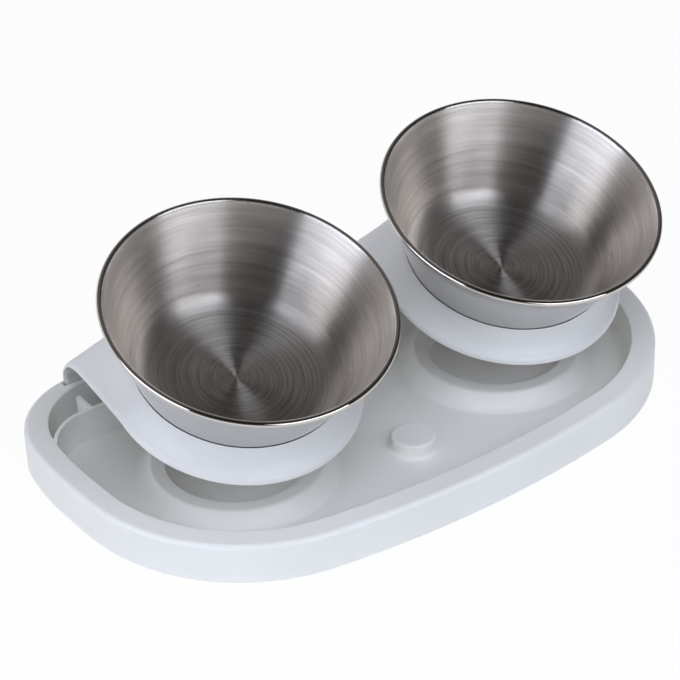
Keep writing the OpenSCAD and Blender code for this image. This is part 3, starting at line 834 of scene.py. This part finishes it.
def spun_steel(name, side):
    """Spun stainless steel: fine turning lines round the bowl's axis, which stretch highlights into fans.

    The bend and the flat floor are rougher than the wall, and the rolled rim is smoother, with painted shade
    that darkens its tone for the dark room it mirrors.
    The outside is polished and greyer, and mirrors the holder and the room.
    """
    material, tree = new_material(name)
    place = add(tree, "ShaderNodeTexCoord").outputs["Object"]
    middle = Vector(at_bowl(side)((0, 0, 0))) * mm
    centred = add(tree, "ShaderNodeMapping", {"vector_type": "TEXTURE", "Location": middle,
                                              "Rotation": (math.radians(tilt), 0, 0), "Vector": place})
    parts = add(tree, "ShaderNodeSeparateXYZ", {"Vector": centred.outputs["Vector"]}).outputs
    height = parts["Z"]
    flat = add(tree, "ShaderNodeCombineXYZ", {"X": parts["X"], "Y": parts["Y"]}).outputs["Vector"]
    away = add(tree, "ShaderNodeVectorMath", {"operation": "LENGTH", 0: flat}).outputs["Value"]
    run = add(tree, "ShaderNodeMath", {"operation": "SUBTRACT", 0: away, 1: height}).outputs["Value"]
    heading = add(tree, "ShaderNodeVectorMath", {"operation": "NORMALIZE", 0: flat}).outputs["Vector"]
    turn = add(tree, "ShaderNodeSeparateXYZ", {"Vector": heading}).outputs

    def arcs(step_mm, length, detail):
        """Noise drawn out along the turning direction: it changes every step_mm across and slowly along."""
        crosswise = add(tree, "ShaderNodeMath", {"operation": "MULTIPLY", 0: run,
                                                 1: length * 1000 / step_mm})
        vector = add(tree, "ShaderNodeCombineXYZ", {"X": turn["X"], "Y": turn["Y"],
                                                    "Z": crosswise.outputs["Value"]})
        noise = add(tree, "ShaderNodeTexNoise", {"Scale": 1 / length, "Detail": detail, "Roughness": 0.6,
                                                 "Vector": vector.outputs["Vector"]})
        stretched = add(tree, "ShaderNodeMapRange", {"From Min": 0.33, "From Max": 0.67,
                                                     "Value": noise.outputs["Fac"]})
        return stretched.outputs["Result"]

    # lines and scuffs are several times coarser than real brushing, so that they show in a picture
    lines = arcs(step_mm=0.7, length=1.2, detail=2.0)
    scuffs = arcs(step_mm=2.0, length=0.6, detail=3.0)
    floor_lines = arcs(step_mm=0.9, length=1.2, detail=2.0)
    bands = arcs(step_mm=9.0, length=1.5, detail=2.0)
    # shares that grow from 0 to 1 between two depths below the rim, in mm
    shares = []
    for start, end in ((38, 6), (41, 45), (46, 49.5), (1.9, 1.3)):
        share = add(tree, "ShaderNodeMapRange", {"From Min": -start * mm, "From Max": -end * mm,
                                                 "Value": height})
        shares.append(share.outputs["Result"])
    wall_share, bend_share, floor_share, rim_share = shares
    # beyond the cone through the middle of the sheet lies the outside, which is polished
    sheet_middle = (wall_r(0) - bowl_t / (2 * cos(wall_lean))) * mm
    lean_run = add(tree, "ShaderNodeMath", {"operation": "MULTIPLY_ADD", 0: height,
                                            1: -math.tan(math.radians(wall_lean)), 2: away})
    outside = add(tree, "ShaderNodeMath", {"operation": "GREATER_THAN", 0: lean_run.outputs["Value"],
                                           1: sheet_middle}).outputs["Value"]
    tones = []
    for marks, dull, bright in ((lines, "CAC4BE", "EFEAE5"), (scuffs, "CAC4BE", "F3EEE9"),
                                (floor_lines, "C4BFBA", "F0ECE8")):
        drawn = add(tree, "ShaderNodeMix", {"data_type": "RGBA", mix_share: marks, mix_first: linear(dull),
                                            mix_second: linear(bright)})
        tones.append(drawn.outputs[mix_out])
    brushed, worn, turned_floor = tones
    tone = add(tree, "ShaderNodeMix", {"data_type": "RGBA", mix_first: brushed, mix_second: worn})
    # the rim's darker tone CBC7C3 is painted shade, standing in for the dark room that the rolled rim
    # mirrors
    for share, colour in ((floor_share, turned_floor), (outside, linear("B8B6B4")),
                          (rim_share, linear("CBC7C3"))):
        tone = add(tree, "ShaderNodeMix", {"data_type": "RGBA", mix_share: share,
                                           mix_first: tone.outputs[mix_out], mix_second: colour})
    rough = add(tree, "ShaderNodeMapRange", {"To Min": 0.25, "To Max": 0.31,
                                             "Value": bands}).outputs["Result"]
    # rougher up the wall, round the bend and on the floor, and smoother on the rim
    for share, more in ((wall_share, 0.07), (bend_share, 0.12), (floor_share, 0.1), (rim_share, -0.12)):
        rough = add(tree, "ShaderNodeMath", {"operation": "MULTIPLY_ADD", 0: share, 1: more,
                                             2: rough}).outputs["Value"]
    polished = 0.06
    gloss = add(tree, "ShaderNodeMix", {"data_type": "FLOAT", "Factor": outside, "A": rough, "B": polished})
    inner_relief, outer_relief = 0.25, 0.02
    relief = add(tree, "ShaderNodeMath", {"operation": "MULTIPLY_ADD", 0: outside,
                                          1: outer_relief - inner_relief, 2: inner_relief})
    bump = add(tree, "ShaderNodeBump", {"Distance": 0.03 * mm, "Height": lines,
                                        "Strength": relief.outputs["Value"]})
    tangent = add(tree, "ShaderNodeTangent", {"direction_type": "UV_MAP", "uv_map": "turning"})
    skin = add(tree, "ShaderNodeBsdfPrincipled",
               {"Metallic": 1.0, "Anisotropic": 0.95, "Base Color": tone.outputs[mix_out],
                "Roughness": gloss.outputs["Result"], "Normal": bump.outputs["Normal"],
                "Tangent": tangent.outputs["Tangent"]})
    add(tree, "ShaderNodeOutputMaterial", {"Surface": skin.outputs["BSDF"]})
    return material


def pad_rubber(name):
    """Die-cut silicone rubber: matt, slightly dusty grey."""
    material, tree = new_material(name)
    place = add(tree, "ShaderNodeTexCoord").outputs["Object"]
    dust_mm = 2.5
    dust = add(tree, "ShaderNodeTexNoise", {"Scale": 1000 / dust_mm, "Detail": 4.0,
                                            "Vector": place}).outputs["Fac"]
    tone = add(tree, "ShaderNodeMix", {"data_type": "RGBA", mix_share: dust, mix_first: linear("56575A"),
                                       mix_second: linear("6C6D70")})
    bump = add(tree, "ShaderNodeBump", {"Strength": 0.2, "Distance": 0.05 * mm, "Height": dust})
    skin = add(tree, "ShaderNodeBsdfPrincipled", {"Roughness": 0.8, "IOR": 1.41,
                                                  "Base Color": tone.outputs[mix_out],
                                                  "Normal": bump.outputs["Normal"]})
    add(tree, "ShaderNodeOutputMaterial", {"Surface": skin.outputs["BSDF"]})
    return material


def dress(piece, material, body, slot_name, *nodes):
    """Gives the piece its material and the body it rides on, and hides the CAD nodes it stands for;
    slot_name is not used.
    """
    piece.data.materials.clear()
    piece.data.materials.append(material)
    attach(piece, body)
    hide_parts(*nodes)


# the holders' plastic is a little greyer than the tray's
tray_plastic = moulded_plastic("moulded_tray_plastic", "F2F1EC", "EDECE6", rough=0.42, grain_mm=0.5)
holder_plastic = moulded_plastic("moulded_holder_plastic", "E6E5E2", "E1E0DD", rough=0.4, grain_mm=0.5)
rubber = pad_rubber("silicone_pad")

dress(make_tray(), tray_plastic, "tray_body", "tray_plastic", "tray")
for side, word in zip(sides, ("left", "right")):
    dress(make_holder(f"draped_holder_{word}", side), holder_plastic,
          f"holder_{word}_body", "holder_plastic", f"holder_{word}")
    dress(make_bowl(f"spun_bowl_{word}", side), spun_steel(f"spun_steel_{word}", side),
          f"bowl_{word}_body", "steel", f"bowl_{word}")
for place, word in zip(pad_places, ("front_left", "front_right", "back_left", "back_right")):
    dress(make_pad(f"rubber_pad_{word}", place), rubber, "tray_body", "pad_rubber", f"pad_{word}")


# Floor, light and background.

def make_floor():
    """A wide matt floor that also glows toward the camera, so that it runs out into white."""
    mesh = bpy.data.meshes.new("floor")
    s = 6
    mesh.from_pydata([(-s, -s, 0), (s, -s, 0), (s, s, 0), (-s, s, 0)], [], [(0, 1, 2, 3)])
    floor = bpy.data.objects.new("floor", mesh)
    scene.collection.objects.link(floor)
    material, tree = new_material("pale_floor")
    path = add(tree, "ShaderNodeLightPath").outputs
    seen = add(tree, "ShaderNodeMath", {"operation": "MAXIMUM", 0: path["Is Camera Ray"],
                                        1: path["Is Glossy Ray"]})
    glow_share = 0.95
    share = add(tree, "ShaderNodeMath", {"operation": "MULTIPLY", 0: seen.outputs["Value"], 1: glow_share})
    matt = add(tree, "ShaderNodeBsdfDiffuse", {"Color": linear("F8F8F8")})
    glow = add(tree, "ShaderNodeEmission", {"Color": (1, 1, 1, 1), "Strength": 1.0})
    mix = add(tree, "ShaderNodeMixShader", {0: share.outputs["Value"], 1: matt.outputs["BSDF"],
                                            2: glow.outputs["Emission"]})
    add(tree, "ShaderNodeOutputMaterial", {"Surface": mix.outputs["Shader"]})
    floor.data.materials.append(material)


def make_world():
    """A dim room: pale and bluish low down at the back and the left, warm and dark above and in front."""
    world = bpy.data.worlds.new("studio")
    scene.world = world
    world.use_nodes = True
    tree = world.node_tree
    tree.nodes.clear()
    direction = add(tree, "ShaderNodeTexCoord").outputs["Generated"]
    up = add(tree, "ShaderNodeSeparateXYZ", {"Vector": direction}).outputs["Z"]
    low, high = 0.25, 0.65
    level = add(tree, "ShaderNodeMapRange", {"interpolation_type": "SMOOTHSTEP", "From Min": low,
                                             "From Max": high, "To Min": 1.0, "To Max": 0.14, "Value": up})
    # the dark side of the room, in front and to the right
    dark_side = (0.35, -0.94, 0)
    toward = add(tree, "ShaderNodeVectorMath", {"operation": "DOT_PRODUCT", 0: direction, 1: dark_side})
    dark = add(tree, "ShaderNodeMapRange", {"interpolation_type": "SMOOTHSTEP", "From Min": -0.2,
                                            "From Max": 0.3, "To Min": 1.0, "To Max": 0.12,
                                            "Value": toward.outputs["Value"]})
    strength = add(tree, "ShaderNodeMath", {"operation": "MULTIPLY", 0: level.outputs["Result"],
                                            1: dark.outputs["Result"]})
    cool, warm = (0.85, 0.89, 1.0, 1), (1.0, 0.92, 0.86, 1)
    share = add(tree, "ShaderNodeMapRange", {"From Min": low, "From Max": high, "Value": up})
    tint = add(tree, "ShaderNodeMix", {"data_type": "RGBA", mix_share: share.outputs["Result"],
                                       mix_first: cool, mix_second: warm})
    glow = add(tree, "ShaderNodeBackground", {"Color": tint.outputs[mix_out],
                                              "Strength": strength.outputs["Value"]})
    add(tree, "ShaderNodeOutputWorld", {"Surface": glow.outputs["Background"]})


def soft_lamp(name, place, size, power, colour):
    """A rectangular lamp that faces the middle of the feeder."""
    data = bpy.data.lights.new(name, "AREA")
    data.shape = "RECTANGLE"
    data.size, data.size_y = size
    data.energy = power
    data.color = colour
    lamp = bpy.data.objects.new(name, data)
    lamp.location = place
    lamp.rotation_euler = (Vector(place) - lamp_aim).to_track_quat("Z", "Y").to_euler()
    scene.collection.objects.link(lamp)
    return lamp


make_floor()
make_world()
daylight, ceiling_light, steel_light = (0.78, 0.85, 1.0), (0.82, 0.875, 1.0), (0.87, 0.91, 1.0)
lamp_aim = Vector((0, 0, 0.06))
window, ceiling = (1.25, 0.9), (1.4, 1.2)
left_window, front_window = Vector((-1.33, -0.1, 0.66)), Vector((0.3, -1.4, 0.66))
# lamps that only the steel reflects stand a little behind the others, since lamps in one place lose light
behind = 1.06
soft_lamp("left_lamp", left_window, window, 5, daylight)
soft_lamp("front_lamp", (0.55, -1.32, 0.66), window, 4.2, daylight).visible_glossy = False
soft_lamp("left_sheen", behind * left_window, window, 2.6, steel_light).visible_diffuse = False
soft_lamp("front_sheen", behind * front_window, window, 9.5, steel_light).visible_diffuse = False
# a bounce from the ceiling that fills the tray and stays out of the steel's reflections
soft_lamp("ceiling_bounce", (-0.4, -0.93, 1.3), ceiling, 18.5, ceiling_light).visible_glossy = False

scene.view_settings.view_transform = "Standard"
